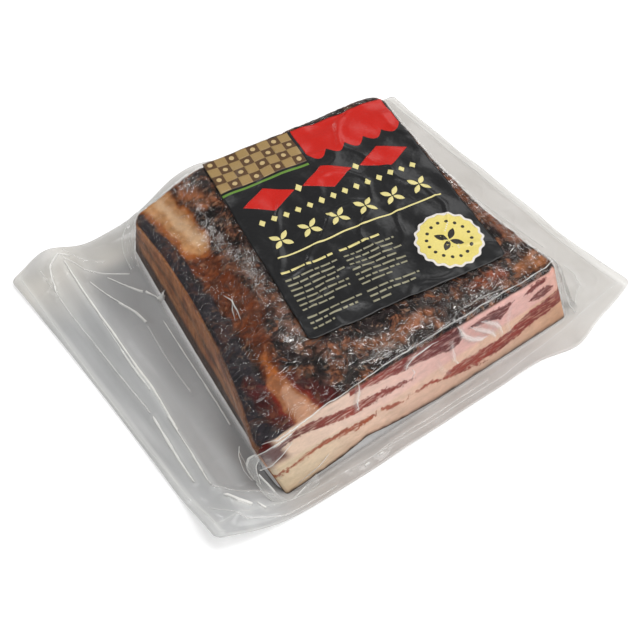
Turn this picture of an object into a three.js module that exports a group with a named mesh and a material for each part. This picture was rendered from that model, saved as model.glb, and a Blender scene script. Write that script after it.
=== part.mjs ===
// A slab of smoked dry bacon, vacuum sealed in a clear film pouch, with a printed label on its top.
// Millimetres, +Z up. +X runs along the pouch, the cut face looks towards -Y, and the slab lies on its rind.
// The origin is on the table, under the middle of the whole pack.
import * as THREE from "three";
import { mergeVertices } from "three/addons/utils/BufferGeometryUtils.js";

const { clamp, degToRad, lerp, smoothstep } = THREE.MathUtils;

// Driving dimensions
const SLAB_HEIGHT = 44; // table to the crust, away from the edges
const CROWN = { x: 10, y: 0, reach: 60, height: 1.4 }; // the low swell in the middle of the top
const FILM = 0.8; // the pouch's two layers where they lie flat together
const LABEL = { width: 116, length: 139, thickness: 0.4, x: 23, y: 7.5 };
const LABEL_TURN = -8.2; // degrees that the label's top and bottom edges are turned on the slab
const LABEL_LEAN = -11.1; // degrees that its sides are turned
const LABEL_GAP = 0.4; // from the skin to the label's underside
const LABEL_BRIDGES = 2; // hollows this near to a point of the label don't pull it down

// The slab's top falls away towards its left side: at its front and at its back, the height lost there,
// the width of the slope, and where the side is.
const SLAB_FRONT = -85;
const SLAB_BACK = 85;
const FALL_FRONT = { height: 7, width: 28, side: -100 };
const FALL_BACK = { height: 15, width: 45, side: -62 };
const SIDE_STRAIGHT = 0.75; // the share of the slab's depth over which its left side slants

// Rings that the pack's skin passes through, from the brow of the crust out to the film's edge.
// Corners run back left, back right, front right, front left, as x, y and, past the brow, z.
// A bow is how far a side swells out, or draws in where it is negative, at the middle of its length.
// Round is the corner radius as a share of the ring's half width.
const BROW = {
  corners: [[-59, 81], [93, 69], [81, -84], [-86, -83]],
  bow: { back: 3, right: -6, front: 0, left: -6 },
  round: 0.1,
};
const SHOULDER = {
  corners: [[-68, 89, 25], [102, 76, 36], [88, -91, 37], [-105, -86, 34]],
  bow: { back: 4, right: -7.5, front: 0, left: -8.5 },
  round: 0.1,
};
const WAIST = {
  corners: [[-68, 93, 9], [103, 84, 9], [97, -95, 9], [-97, -93, 9]],
  bow: { back: 4, right: -6, front: 0, left: 0 },
  round: 0.1,
};
const FOOT = {
  corners: [[-70, 96, FILM], [106, 88, FILM], [100, -98, FILM], [-95, -96, FILM]],
  bow: { back: 3, right: -5, front: 0, left: 3 },
  round: 0.12,
};
const EDGE = {
  corners: [[-136, 109, FILM], [136, 104, FILM], [136, -102, FILM], [-136, -98, FILM]],
  bow: { back: 0, right: 0, front: 8, left: -2 },
  round: 0.03,
};

// Grid lines between the rings, counted outwards from the middle of the top
const TOP_STEPS = 13;
const ROLL_STEPS = 3;
const WALL_STEPS = 1;
const FLARE_STEPS = 2;
const SKIRT_SHARES = [0.18, 0.38, 0.6, 0.8, 0.94, 1]; // of the way from the slab's foot to the film's edge

const LABEL_STEPS_ACROSS = 20;
const LABEL_STEPS_ALONG = 24;

const BROW_LINE = TOP_STEPS;
const SHOULDER_LINE = BROW_LINE + ROLL_STEPS;
const WAIST_LINE = SHOULDER_LINE + WALL_STEPS;
const FOOT_LINE = WAIST_LINE + FLARE_STEPS;
const EDGE_LINE = FOOT_LINE + SKIRT_SHARES.length;

// Where the flat film rises off the table: a bell-shaped lift of the given height about a place on the skirt.
const LIFTS = [
  { x: -113, y: 109, reachX: 12, reachY: 16, height: 11 }, // a wave near the pouch's back left corner
  { x: -16, y: 109, reachX: 25, reachY: 9, height: 22 }, // the margin that stands up behind the slab
  { x: -136, y: -99, reachX: 16, reachY: 16, height: 12 }, // front left corner
  { x: 136, y: -104, reachX: 22, reachY: 20, height: 5 }, // front right corner
  { x: -106, y: -88, reachX: 9, reachY: 6, height: 4 }, // the rounded end of the empty pocket
];
const RIDGE = { height: 4, share: 0.6, width: 0.2 }; // the long fold down the empty left part of the pouch
const TONGUE = { x: 85, reach: 11, out: 5 }; // where the front edge of the film is drawn out into a tongue

const FILM_LOOK = { color: 0xb9b6b1, roughness: 0.25, metalness: 0 };
const LABEL_LOOK = { color: 0x1b1a1b, roughness: 0.4, metalness: 0 };

// The bell curve exp(-(d / reach)^2 / 2)
const bell = (distance, reach) => Math.exp(-0.5 * (distance / reach) ** 2);

// The crags of the dried crust, about a millimetre high.
function crags(x, y) {
  const broad = Math.sin(x / 9 + 1.3 * Math.sin(y / 17)) * Math.cos(y / 11 + 0.8 * Math.sin(x / 13));
  const fine = Math.sin((x + y) / 5.1) * Math.sin((x - 0.6 * y) / 6.3);
  return 0.7 * broad + 0.4 * fine;
}

// The height of the slab's top. Depth runs from 0 at its front to 1 at its back.
function crustHeight(x, y) {
  const depth = clamp((y - SLAB_FRONT) / (SLAB_BACK - SLAB_FRONT), 0, 1);
  const side = lerp(FALL_FRONT.side, FALL_BACK.side, smoothstep(depth, 0, SIDE_STRAIGHT));
  const width = lerp(FALL_FRONT.width, FALL_BACK.width, depth);
  const fall = lerp(FALL_FRONT.height, FALL_BACK.height, depth) * (1 - smoothstep(x - side, 0, width));
  const crown = CROWN.height * bell(x - CROWN.x, CROWN.reach) * bell(y - CROWN.y, CROWN.reach);
  return SLAB_HEIGHT + crown - fall + crags(x, y);
}

// Turns the corners of the square |a|, |b| <= s into arcs.
function roundedSquare(a, b, share) {
  const s = Math.max(Math.abs(a), Math.abs(b));
  const inner = s * (1 - share);
  const u = Math.abs(a) - inner;
  const v = Math.abs(b) - inner;
  if (s === 0 || u <= 0 || v <= 0) return [a, b];
  const scale = (s * share) / Math.hypot(u, v);
  return [Math.sign(a) * (inner + u * scale), Math.sign(b) * (inner + v * scale)];
}

// A point of a ring, or inside it: a runs from left to right and b from front to back, each from -1 to 1.
function inRing(ring, squareA, squareB) {
  const [a, b] = roundedSquare(squareA, squareB, ring.round);
  const weights = [(1 - a) * (1 + b), (1 + a) * (1 + b), (1 + a) * (1 - b), (1 - a) * (1 - b)];
  const point = new THREE.Vector3();
  ring.corners.forEach(([x, y, z = 0], i) => {
    point.addScaledVector(new THREE.Vector3(x, y, z), weights[i] / 4);
  });
  const { back, right, front, left } = ring.bow;
  point.x += (1 - b * b) * (Math.max(a, 0) * right - Math.max(-a, 0) * left);
  point.y += (1 - a ** 6) * (Math.max(b, 0) * back - Math.max(-b, 0) * front);
  return point;
}

// The shallow ripples of the flat film, which die out towards the slab's foot.
function ripples(x, y, share) {
  const waves = Math.sin(x / 8.5 + y / 23) * Math.cos(y / 10 - x / 31);
  return 0.7 * (1 + waves) * smoothstep(share, 0, 0.3);
}

// The long fold, on the pouch's left only, and gone before its back and front edges.
function ridgeLift(x, y, share) {
  const onLine = 1 - clamp(Math.abs(share - RIDGE.share) / RIDGE.width, 0, 1);
  const onLeft = smoothstep(-x, 96, 106) * smoothstep(-Math.abs(y), -104, -90);
  return RIDGE.height * onLine * onLeft;
}

// How far the flat film stands off the table at a point of the skirt.
function skirtLift(x, y, share) {
  const lifts = LIFTS.map((l) => l.height * bell(x - l.x, l.reachX) * bell(y - l.y, l.reachY));
  return lifts.reduce((total, lift) => total + lift, ripples(x, y, share) + ridgeLift(x, y, share));
}

// The pack's skin on grid line number `line`, in the direction a, b from the middle.
function skin(a, b, line) {
  const s = Math.max(Math.abs(a), Math.abs(b)) || 1;
  const [edgeA, edgeB] = [a / s, b / s];
  const brow = (share) => {
    const p = inRing(BROW, edgeA * share, edgeB * share);
    p.z = crustHeight(p.x, p.y);
    return p;
  };
  if (line <= BROW_LINE) return brow(line / BROW_LINE);
  if (line <= SHOULDER_LINE) {
    const turn = ((line - BROW_LINE) / ROLL_STEPS) * (Math.PI / 2);
    const [from, to] = [brow(1), inRing(SHOULDER, edgeA, edgeB)];
    const p = from.clone().lerp(to, Math.sin(turn));
    p.z = lerp(from.z, to.z, 1 - Math.cos(turn));
    return p;
  }
  if (line <= WAIST_LINE) {
    const share = (line - SHOULDER_LINE) / WALL_STEPS;
    return inRing(SHOULDER, edgeA, edgeB).lerp(inRing(WAIST, edgeA, edgeB), share);
  }
  if (line <= FOOT_LINE) {
    const turn = ((line - WAIST_LINE) / FLARE_STEPS) * (Math.PI / 2);
    const [from, to] = [inRing(WAIST, edgeA, edgeB), inRing(FOOT, edgeA, edgeB)];
    const p = from.clone().lerp(to, 1 - Math.cos(turn));
    p.z = lerp(from.z, to.z, Math.sin(turn));
    return p;
  }
  const share = SKIRT_SHARES[line - FOOT_LINE - 1];
  const p = inRing(FOOT, edgeA, edgeB).lerp(inRing(EDGE, edgeA, edgeB), share);
  p.z = FILM + skirtLift(p.x, p.y, share);
  if (edgeB === -1) p.y -= share * TONGUE.out * bell(p.x - TONGUE.x, TONGUE.reach);
  return p;
}

// The pack's underside: flat on the table under the slab, and a film's thickness below the skirt's upper face.
function sole(a, b, line) {
  if (line < FOOT_LINE) return new THREE.Vector3(0, 0, 0);
  const p = skin(a, b, line);
  p.z = Math.max(0, p.z - FILM);
  return p;
}

// A closed geometry with its shared vertices merged and its collapsed triangles dropped.
function closedGeometry(box) {
  box.deleteAttribute("normal");
  box.deleteAttribute("uv");
  const merged = mergeVertices(box, 1e-3);
  const kept = [];
  for (let i = 0; i < merged.index.count; i += 3) {
    const [p, q, r] = [0, 1, 2].map((k) => merged.index.getX(i + k));
    if (p !== q && q !== r && r !== p) kept.push(p, q, r);
  }
  merged.setIndex(kept);
  merged.computeVertexNormals();
  return merged;
}

// The pouch with the slab inside it: a box whose grid is laid over the skin and the underside.
function makeSealedBag() {
  const box = new THREE.BoxGeometry(2, 2, 2, 2 * EDGE_LINE, 2 * EDGE_LINE, 1);
  const at = box.attributes.position;
  for (let i = 0; i < at.count; i++) {
    const [a, b] = [at.getX(i), at.getY(i)];
    const line = Math.round(Math.max(Math.abs(a), Math.abs(b)) * EDGE_LINE);
    const p = at.getZ(i) > 0 ? skin(a, b, line) : sole(a, b, line);
    at.setXYZ(i, p.x, p.y, p.z);
  }
  const mesh = new THREE.Mesh(closedGeometry(box), new THREE.MeshStandardMaterial(FILM_LOOK));
  mesh.name = "sealed_bag";
  return mesh;
}

// The printed label, turned and a little skewed on the slab. It is bent to the skin under it and bridges
// hollows of a few millimetres.
function makeLabel(bag) {
  const ray = new THREE.Raycaster();
  const down = new THREE.Vector3(0, 0, -1);
  const highAbove = 2 * SLAB_HEIGHT;
  const skinHeight = (x, y) => {
    ray.set(new THREE.Vector3(x, y, highAbove), down);
    return ray.intersectObject(bag)[0].point.z;
  };
  const box = new THREE.BoxGeometry(LABEL.width, LABEL.length, 1, LABEL_STEPS_ACROSS, LABEL_STEPS_ALONG, 1);
  const up = new THREE.Vector3(0, 0, 1);
  const across = new THREE.Vector3(1, 0, 0).applyAxisAngle(up, degToRad(LABEL_TURN));
  const along = new THREE.Vector3(0, 1, 0).applyAxisAngle(up, degToRad(LABEL_LEAN));
  box.applyMatrix4(new THREE.Matrix4().makeBasis(across, along, up).setPosition(LABEL.x, LABEL.y, 0));
  const at = box.attributes.position;
  for (let i = 0; i < at.count; i++) {
    const [x, y] = [at.getX(i), at.getY(i)];
    const near = [[0, 0], [-1, 0], [1, 0], [0, -1], [0, 1]];
    const heights = near.map(([dx, dy]) => skinHeight(x + dx * LABEL_BRIDGES, y + dy * LABEL_BRIDGES));
    const lift = LABEL_GAP + (at.getZ(i) > 0 ? LABEL.thickness : 0);
    at.setZ(i, Math.max(...heights) + lift);
  }
  const mesh = new THREE.Mesh(closedGeometry(box), new THREE.MeshStandardMaterial(LABEL_LOOK));
  mesh.name = "label";
  return mesh;
}

// Moves the pack so that its origin is under the middle of its bounding box.
function centred(pack) {
  const middle = new THREE.Box3().setFromObject(pack).getCenter(new THREE.Vector3());
  pack.position.set(-middle.x, -middle.y, 0);
  return pack;
}

const bag = makeSealedBag();
const pack = new THREE.Group();
pack.name = "bacon_pack";
pack.add(bag, makeLabel(bag));

export default centred(pack);
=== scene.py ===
# A slab of smoked dry bacon, vacuum sealed in a clear film pouch, with a printed label on its top.
# Shapes are worked out in millimetres, with the cut face towards -Y, and put down in metres.
import itertools
import math

import bmesh
import bpy
import numpy as np
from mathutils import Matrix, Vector
from mathutils.bvhtree import BVHTree


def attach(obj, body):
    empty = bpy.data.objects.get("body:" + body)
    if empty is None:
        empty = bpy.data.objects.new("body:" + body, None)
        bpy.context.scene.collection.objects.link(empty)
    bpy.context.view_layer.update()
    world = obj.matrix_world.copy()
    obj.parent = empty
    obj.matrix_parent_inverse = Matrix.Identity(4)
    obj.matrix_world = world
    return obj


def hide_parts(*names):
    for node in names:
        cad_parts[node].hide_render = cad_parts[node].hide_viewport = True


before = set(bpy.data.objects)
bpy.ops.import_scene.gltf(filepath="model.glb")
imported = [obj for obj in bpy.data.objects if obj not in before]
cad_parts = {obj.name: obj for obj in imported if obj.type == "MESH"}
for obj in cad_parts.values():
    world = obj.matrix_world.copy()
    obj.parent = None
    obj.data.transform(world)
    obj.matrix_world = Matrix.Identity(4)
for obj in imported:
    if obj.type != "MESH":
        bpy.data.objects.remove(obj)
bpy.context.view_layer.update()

MM = 0.001
FRAME_SHIFT = np.array([-0.0784, 2.3725, 0.0])  # mm, from the rings below to the pack's own origin

# The pack's driving dimensions, in millimetres
SLAB_HEIGHT = 44.0
CROWN = {"x": 10, "y": 0, "reach": 60, "height": 1.4}
FILM = 0.8
SLAB_FRONT = -85.0
SLAB_BACK = 85.0
FALL_FRONT = {"height": 7, "width": 28, "side": -100}
FALL_BACK = {"height": 15, "width": 45, "side": -62}
SIDE_STRAIGHT = 0.75

# Rings that the skin passes through. Corners run back left, back right, front right, front left.
# A bow is how far each side swells out at its middle: back, right, front, left.
BROW = {
    "corners": [(-59, 81, 0), (93, 69, 0), (81, -84, 0), (-86, -83, 0)],
    "bow": (3, -6, 0, -6),
    "round": 0.1,
}
SHOULDER = {
    "corners": [(-68, 89, 25), (102, 76, 36), (88, -91, 37), (-105, -86, 34)],
    "bow": (4, -7.5, 0, -8.5),
    "round": 0.1,
}
WAIST = {
    "corners": [(-68, 93, 9), (103, 84, 9), (97, -95, 9), (-97, -93, 9)],
    "bow": (4, -6, 0, 0),
    "round": 0.1,
}
FOOT = {
    "corners": [(-70, 96, FILM), (106, 88, FILM), (100, -98, FILM), (-95, -96, FILM)],
    "bow": (3, -5, 0, 3),
    "round": 0.12,
}
EDGE = {
    "corners": [(-136, 109, FILM), (136, 104, FILM), (136, -102, FILM), (-136, -98, FILM)],
    "bow": (0, 0, 8, -2),
    "round": 0.03,
}
# Where the slab itself stands on the table, inside the film's flare
SLAB_FOOT = {
    "corners": [(-68, 91, 0.5), (102, 82, 0.5), (95, -96, 0.5), (-94.5, -94.5, 0.5)],
    "bow": (4, -6, 0, 1),
    "round": 0.035,
}

# Where the flat film rises off the table: place, reach either way, height
LIFTS = [
    (-113, 109, 12, 16, 11),
    (-16, 109, 25, 9, 22),
    (-136, -99, 16, 16, 12),
    (136, -104, 22, 20, 5),
    (-106, -88, 9, 6, 4),
]
RIDGE = {"height": 4, "share": 0.6, "width": 0.2}
TONGUE = {"x": 85, "reach": 11, "out": 5}

LABEL = {"width": 116.0, "length": 139.0, "x": 23.0, "y": 7.5, "turn": -8.2, "lean": -11.1}
LABEL_LIFT = 0.6  # from the film to the label's printed face
LABEL_THICK = 0.3
LABEL_ROUND = 0.06
SKIN_GAP = 0.55  # from the film's outside in to the slab, where the crust has no pits


def bell(distance, reach):
    return np.exp(-0.5 * (distance / reach) ** 2)


def smooth(value, low, high):
    """0 below low, 1 above high, and a soft step between."""
    t = np.clip((value - low) / (high - low), 0, 1)
    return t * t * (3 - 2 * t)


def mix(low, high, share):
    return low + (high - low) * share


def linear(colour):
    """A colour picked as the eye sees it, 0 to 255, as light."""
    c = np.array(colour, dtype=float) / 255
    return np.where(c <= 0.04045, c / 12.92, ((c + 0.055) / 1.055) ** 2.4)


def hashed(cell, seed):
    """A repeatable number from 0 to 1 for each whole-numbered cell."""
    m = (cell[:, 0] * 73856093) ^ (cell[:, 1] * 19349663) ^ (cell[:, 2] * 83492791) ^ (seed * 7919131)
    m = m & 0x7FFFFFFF
    for factor in (668265, 374761):
        m = (m ^ (m >> 13)) * factor & 0x7FFFFFFF
    return (m ^ (m >> 15)) / 0x7FFFFFFF


def noise(points, size, seed):
    """Smooth random relief from about -1 to 1, whose bumps are size across."""
    scaled = points / size
    cell = np.floor(scaled).astype(np.int64)
    part = scaled - cell
    ease = part * part * part * (part * (part * 6 - 15) + 10)
    total = np.zeros(len(points))
    for corner in itertools.product((0, 1), repeat=3):
        weight = np.prod(np.where(corner, ease, 1 - ease), axis=1)
        at = cell + corner
        slope = np.stack([hashed(at, seed + k) * 2 - 1 for k in (0, 101, 202)], axis=1)
        total += weight * np.sum(slope * (part - corner), axis=1)
    return total * 1.6


def creases(points, size, seed, width):
    """1 on a net of thin lines and 0 away from them."""
    sway = np.stack([noise(points, size * 0.8, seed + k) for k in (7, 17, 27)], axis=1)
    bent = points + 0.35 * size * sway
    return 1 - smooth(np.abs(noise(bent, size, seed)), 0, width)


def along(path, x):
    """The value of a list of (x, value) stations at x."""
    stations = np.array(path, dtype=float)
    return [np.interp(x, stations[:, 0], stations[:, k]) for k in range(1, stations.shape[1])]


def inside_stroke(u, v, path):
    """How deep a point is inside a brush stroke: path holds u, v, half width."""
    best = np.full(len(u), -1e3)
    for (u0, v0, w0), (u1, v1, w1) in zip(path[:-1], path[1:]):
        du, dv = u1 - u0, v1 - v0
        t = np.clip(((u - u0) * du + (v - v0) * dv) / (du * du + dv * dv), 0, 1)
        gap = np.hypot(u - u0 - t * du, v - v0 - t * dv)
        best = np.maximum(best, mix(w0, w1, t) - gap)
    return best


# The skin of the pack, shared by the film, the slab inside it and the label

def crags(x, y):
    broad = np.sin(x / 9 + 1.3 * np.sin(y / 17)) * np.cos(y / 11 + 0.8 * np.sin(x / 13))
    fine = np.sin((x + y) / 5.1) * np.sin((x - 0.6 * y) / 6.3)
    return 0.7 * broad + 0.4 * fine


def crust_height(x, y):
    depth = np.clip((y - SLAB_FRONT) / (SLAB_BACK - SLAB_FRONT), 0, 1)
    side = mix(FALL_FRONT["side"], FALL_BACK["side"], smooth(depth, 0, SIDE_STRAIGHT))
    width = mix(FALL_FRONT["width"], FALL_BACK["width"], depth)
    fall = mix(FALL_FRONT["height"], FALL_BACK["height"], depth) * (1 - smooth(x - side, 0, width))
    crown = CROWN["height"] * bell(x - CROWN["x"], CROWN["reach"]) * bell(y - CROWN["y"], CROWN["reach"])
    return SLAB_HEIGHT + crown - fall + crags(x, y)


def rounded_square(a, b, share):
    s = np.maximum(np.abs(a), np.abs(b))
    inner = s * (1 - share)
    u = np.abs(a) - inner
    v = np.abs(b) - inner
    corner = (u > 0) & (v > 0) & (s > 0)
    scale = np.where(corner, s * share / np.maximum(np.hypot(u, v), 1e-9), 1)
    round_a = np.where(corner, np.sign(a) * (inner + u * scale), a)
    round_b = np.where(corner, np.sign(b) * (inner + v * scale), b)
    return round_a, round_b


def in_ring(ring, a, b):
    """Points of a ring, or inside it: a runs left to right and b front to back, each from -1 to 1."""
    a, b = rounded_square(a, b, ring["round"])
    weights = [(1 - a) * (1 + b), (1 + a) * (1 + b), (1 + a) * (1 - b), (1 - a) * (1 - b)]
    point = sum(w[:, None] * np.array(c, dtype=float) for w, c in zip(weights, ring["corners"])) / 4
    back, right, front, left = ring["bow"]
    point[:, 0] += (1 - b * b) * (np.maximum(a, 0) * right - np.maximum(-a, 0) * left)
    point[:, 1] += (1 - a**6) * (np.maximum(b, 0) * back - np.maximum(-b, 0) * front)
    return point


def swing(start, end, turn, rises_first):
    """Passes from start to end round a quarter of an ellipse."""
    angle = np.clip(turn, 0, 1)[:, None] * (math.pi / 2)
    early, late = np.sin(angle), 1 - np.cos(angle)
    flat, up = (late, early) if rises_first else (early, late)
    return start + (end - start) * np.concatenate([flat, flat, up], axis=1)


def brow_points(edge_a, edge_b, share):
    point = in_ring(BROW, edge_a * share, edge_b * share)
    point[:, 2] = crust_height(point[:, 0], point[:, 1])
    return point


def skirt_lift(x, y, share):
    waves = np.sin(x / 8.5 + y / 23) * np.cos(y / 10 - x / 31)
    lift = 0.7 * (1 + waves) * smooth(share, 0, 0.3)
    on_line = 1 - np.clip(np.abs(share - RIDGE["share"]) / RIDGE["width"], 0, 1)
    on_left = smooth(-x, 96, 106) * smooth(-np.abs(y), -104, -90)
    lift = lift + RIDGE["height"] * on_line * on_left
    for at_x, at_y, reach_x, reach_y, height in LIFTS:
        lift = lift + height * bell(x - at_x, reach_x) * bell(y - at_y, reach_y)
    return lift


def pouch_skin(edge_a, edge_b, stage):
    """The film's outside. Stage runs 0-1 over the top, 1-2 round the brow, 2-3 down the wall,
    3-4 out at the foot and 4-5 over the flat skirt."""
    point = brow_points(edge_a, edge_b, np.clip(stage, 0, 1))
    point = swing(point, in_ring(SHOULDER, edge_a, edge_b), stage - 1, False)
    point = mix(point, in_ring(WAIST, edge_a, edge_b), np.clip(stage - 2, 0, 1)[:, None])
    point = swing(point, in_ring(FOOT, edge_a, edge_b), stage - 3, True)
    share = np.clip(stage - 4, 0, 1)
    point = mix(point, in_ring(EDGE, edge_a, edge_b), share[:, None])
    point[:, 2] += np.where(share > 0, skirt_lift(point[:, 0], point[:, 1], share), 0)
    drawn_out = share * TONGUE["out"] * bell(point[:, 0] - TONGUE["x"], TONGUE["reach"])
    point[:, 1] -= np.where(edge_b <= -1, drawn_out, 0)
    return point


def slab_skin(edge_a, edge_b, stage):
    """The slab's outside under the film: the same top and shoulder, and then straight down."""
    point = brow_points(edge_a, edge_b, np.clip(stage, 0, 1))
    point = swing(point, in_ring(SHOULDER, edge_a, edge_b), stage - 1, False)
    return mix(point, in_ring(SLAB_FOOT, edge_a, edge_b), np.clip(stage - 2, 0, 1)[:, None])


def facing_front(edge):
    """1 for the directions that end on the front side, 0 for the others."""
    return smooth(-edge[:, 1], 0.985, 1.0)


# Mesh helpers

def places(bm):
    return np.array([v.co[:] for v in bm.verts])


def flat_grid(across, up):
    """A grid from -1 to 1 either way, and the places of its vertices."""
    bm = bmesh.new()
    bmesh.ops.create_grid(bm, x_segments=across, y_segments=up, size=1)
    return bm, places(bm)


def grid_over(half_lines, skin, stage_lines):
    """A square grid laid over a skin. Gives the bmesh and each vertex's direction, stage and place."""
    bm, flat = flat_grid(2 * half_lines, 2 * half_lines)
    s = np.maximum(np.abs(flat[:, 0]), np.abs(flat[:, 1]))
    edge = flat[:, :2] / np.maximum(s, 1e-9)[:, None]
    edge = np.where(np.abs(edge) > 1 - 1e-6, np.sign(edge), edge)
    stage = np.interp(s * half_lines, stage_lines, range(len(stage_lines)))
    return bm, edge, stage, skin(edge[:, 0], edge[:, 1], stage)


def put(bm, points):
    for vertex, point in zip(bm.verts, points):
        vertex.co = point


def normals_of(bm):
    bm.normal_update()
    return np.array([v.normal[:] for v in bm.verts])


def linked(name, data):
    made = bpy.data.objects.new(name, data)
    bpy.context.scene.collection.objects.link(made)
    return made


def finished(name, bm, material, replaced=None, attributes=None):
    """A named object at the origin, smooth shaded, in metres and in the pack's own frame."""
    for vertex in bm.verts:
        vertex.co = (vertex.co + Vector(FRAME_SHIFT)) * MM
    mesh = bpy.data.meshes.new(name)
    bm.to_mesh(mesh)
    bm.free()
    mesh.shade_smooth()
    for label, values in (attributes or {}).items():
        flat = np.asarray(values, dtype=np.float32)
        colour = flat.ndim == 2
        kind = "FLOAT_COLOR" if colour else "FLOAT"
        layer = mesh.attributes.new(label, kind, "POINT")
        full = np.zeros((len(mesh.vertices), 4) if colour else len(mesh.vertices), dtype=np.float32)
        if colour:
            full[: len(flat), :3] = flat
            full[len(flat):, :3] = flat[-1]
            full[:, 3] = 1
        else:
            full[: len(flat)] = flat
            full[len(flat):] = flat[-1]
        layer.data.foreach_set("color" if colour else "value", full.ravel())
    piece = linked(name, mesh)
    mesh.materials.append(material)
    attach(piece, "root")
    if replaced:
        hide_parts(replaced)
    return piece


def edges_on_rim(bm):
    return [e for e in bm.edges if e.is_boundary]


def grown_rim(bm, rim):
    """Adds a strip of faces round an open edge. Gives the new edge and its vertices."""
    grown = bmesh.ops.extrude_edge_only(bm, edges=rim)["geom"]
    new_edges = [g for g in grown if isinstance(g, bmesh.types.BMEdge)]
    new_verts = [g for g in grown if isinstance(g, bmesh.types.BMVert)]
    return new_edges, new_verts


# Node helpers

def node(tree, kind, sockets=None, **settings):
    made = tree.nodes.new(kind)
    for name, value in settings.items():
        setattr(made, name, value)
    for name, value in (sockets or {}).items():
        if isinstance(value, bpy.types.NodeSocket):
            tree.links.new(value, made.inputs[name])
        else:
            made.inputs[name].default_value = value
    return made


def new_material(name):
    material = bpy.data.materials.new(name)
    material.use_nodes = True
    tree = material.node_tree
    tree.nodes.clear()
    return material, tree


def output(tree, shader):
    node(tree, "ShaderNodeOutputMaterial", {"Surface": shader})


def principled(tree, sockets):
    return node(tree, "ShaderNodeBsdfPrincipled", sockets).outputs[0]


def rgba(colour):
    return (*linear(colour), 1)


def attribute(tree, name, socket="Fac"):
    return node(tree, "ShaderNodeAttribute", attribute_name=name).outputs[socket]


def object_noise(tree, scale, detail=3.0, roughness=0.55, stretch=(1, 1, 1), distortion=0.0):
    """Noise on Object coordinates. Scale is bumps per metre."""
    place = node(tree, "ShaderNodeTexCoord").outputs["Object"]
    turned = node(tree, "ShaderNodeMapping", {"Vector": place, "Scale": stretch}).outputs["Vector"]
    sockets = {"Vector": turned, "Scale": scale, "Detail": detail}
    sockets.update({"Roughness": roughness, "Distortion": distortion})
    return node(tree, "ShaderNodeTexNoise", sockets).outputs["Fac"]


def maths(tree, operation, first, second=0.0, third=None):
    sockets = {0: first, 1: second}
    if third is not None:
        sockets[2] = third
    return node(tree, "ShaderNodeMath", sockets, operation=operation).outputs[0]


def times(tree, first, second):
    return maths(tree, "MULTIPLY", first, second)


def summed(tree, start, *terms):
    """Start, and then each value times its weight."""
    for value, weight in terms:
        start = maths(tree, "MULTIPLY_ADD", value, weight, start)
    return start


def ranged(tree, value, low, high, to_low=0.0, to_high=1.0, kind="SMOOTHSTEP"):
    sockets = {"Value": value, "From Min": low, "From Max": high, "To Min": to_low, "To Max": to_high}
    return node(tree, "ShaderNodeMapRange", sockets, interpolation_type=kind).outputs["Result"]


def blended(tree, share, first, second, blend_type="MIX"):
    made = node(tree, "ShaderNodeMix", data_type="RGBA", blend_type=blend_type)
    for socket, value in ((made.inputs[0], share), (made.inputs[6], first), (made.inputs[7], second)):
        if isinstance(value, bpy.types.NodeSocket):
            tree.links.new(value, socket)
        else:
            socket.default_value = value
    return made.outputs[2]


def shaded(tree, colour, shade):
    """A colour made darker or lighter by a number."""
    grey = node(tree, "ShaderNodeCombineColor", {0: shade, 1: shade, 2: shade}).outputs[0]
    return blended(tree, 1.0, colour, grey, "MULTIPLY")


def bump(tree, height, distance, strength=1.0, normal=None):
    sockets = {"Height": height, "Distance": distance, "Strength": strength}
    if normal is not None:
        sockets["Normal"] = normal
    return node(tree, "ShaderNodeBump", sockets).outputs["Normal"]


# Materials

def wrinkle_lines(tree, scale, width, distortion, long=1.0, turn=0.0):
    """1 along thin wandering lines and 0 away from them. They run the longer way of a stretched noise."""
    place = node(tree, "ShaderNodeTexCoord").outputs["Object"]
    sockets = {"Vector": place, "Rotation": (0, 0, math.radians(turn)), "Scale": (long, 1, 1)}
    turned = node(tree, "ShaderNodeMapping", sockets, vector_type="TEXTURE").outputs["Vector"]
    sockets = {"Vector": turned, "Scale": scale, "Detail": 1.0, "Distortion": distortion}
    field = node(tree, "ShaderNodeTexNoise", sockets).outputs["Fac"]
    off = maths(tree, "ABSOLUTE", maths(tree, "SUBTRACT", field, 0.5))
    return ranged(tree, off, 0.0, width, 1.0, 0.0)


# Wandering lines in the film: bumps per metre, line width, distortion, stretch and its turn in degrees
LONG_LINES = (95, 0.03, 1.5)
STEEP_LINES = (190, 0.045, 0.6, 2.8, 55)
LEVEL_LINES = (230, 0.035, 0.8, 2.4, 12)
CRUMPLES = (120, 0.16, 0.9, 1.8, 35)
# How high each kind of wrinkle stands in the film's bump
WRINKLES = {"short": 0.5, "facets": 0.6, "sparkle": 0.3, "crumples": 1.3, "long": 0.6}
WRINKLE_HEIGHT = 0.0006  # m
# What the film's threads and short lines add to its milkiness: whitened film, and painted glints along them
MILK_AND_GLINTS = {"threads": 0.08, "short": 0.13}
# How much the film mirrors: seen square on, and what a grazing view, its threads and its gathers add
MIRROR = {"square_on": 0.014, "grazing": 0.35, "threads": 0.16, "gathers": 0.05}
GLOSS_ROUGHNESS = 0.04
GRAZING_POWER = 5.0


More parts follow.
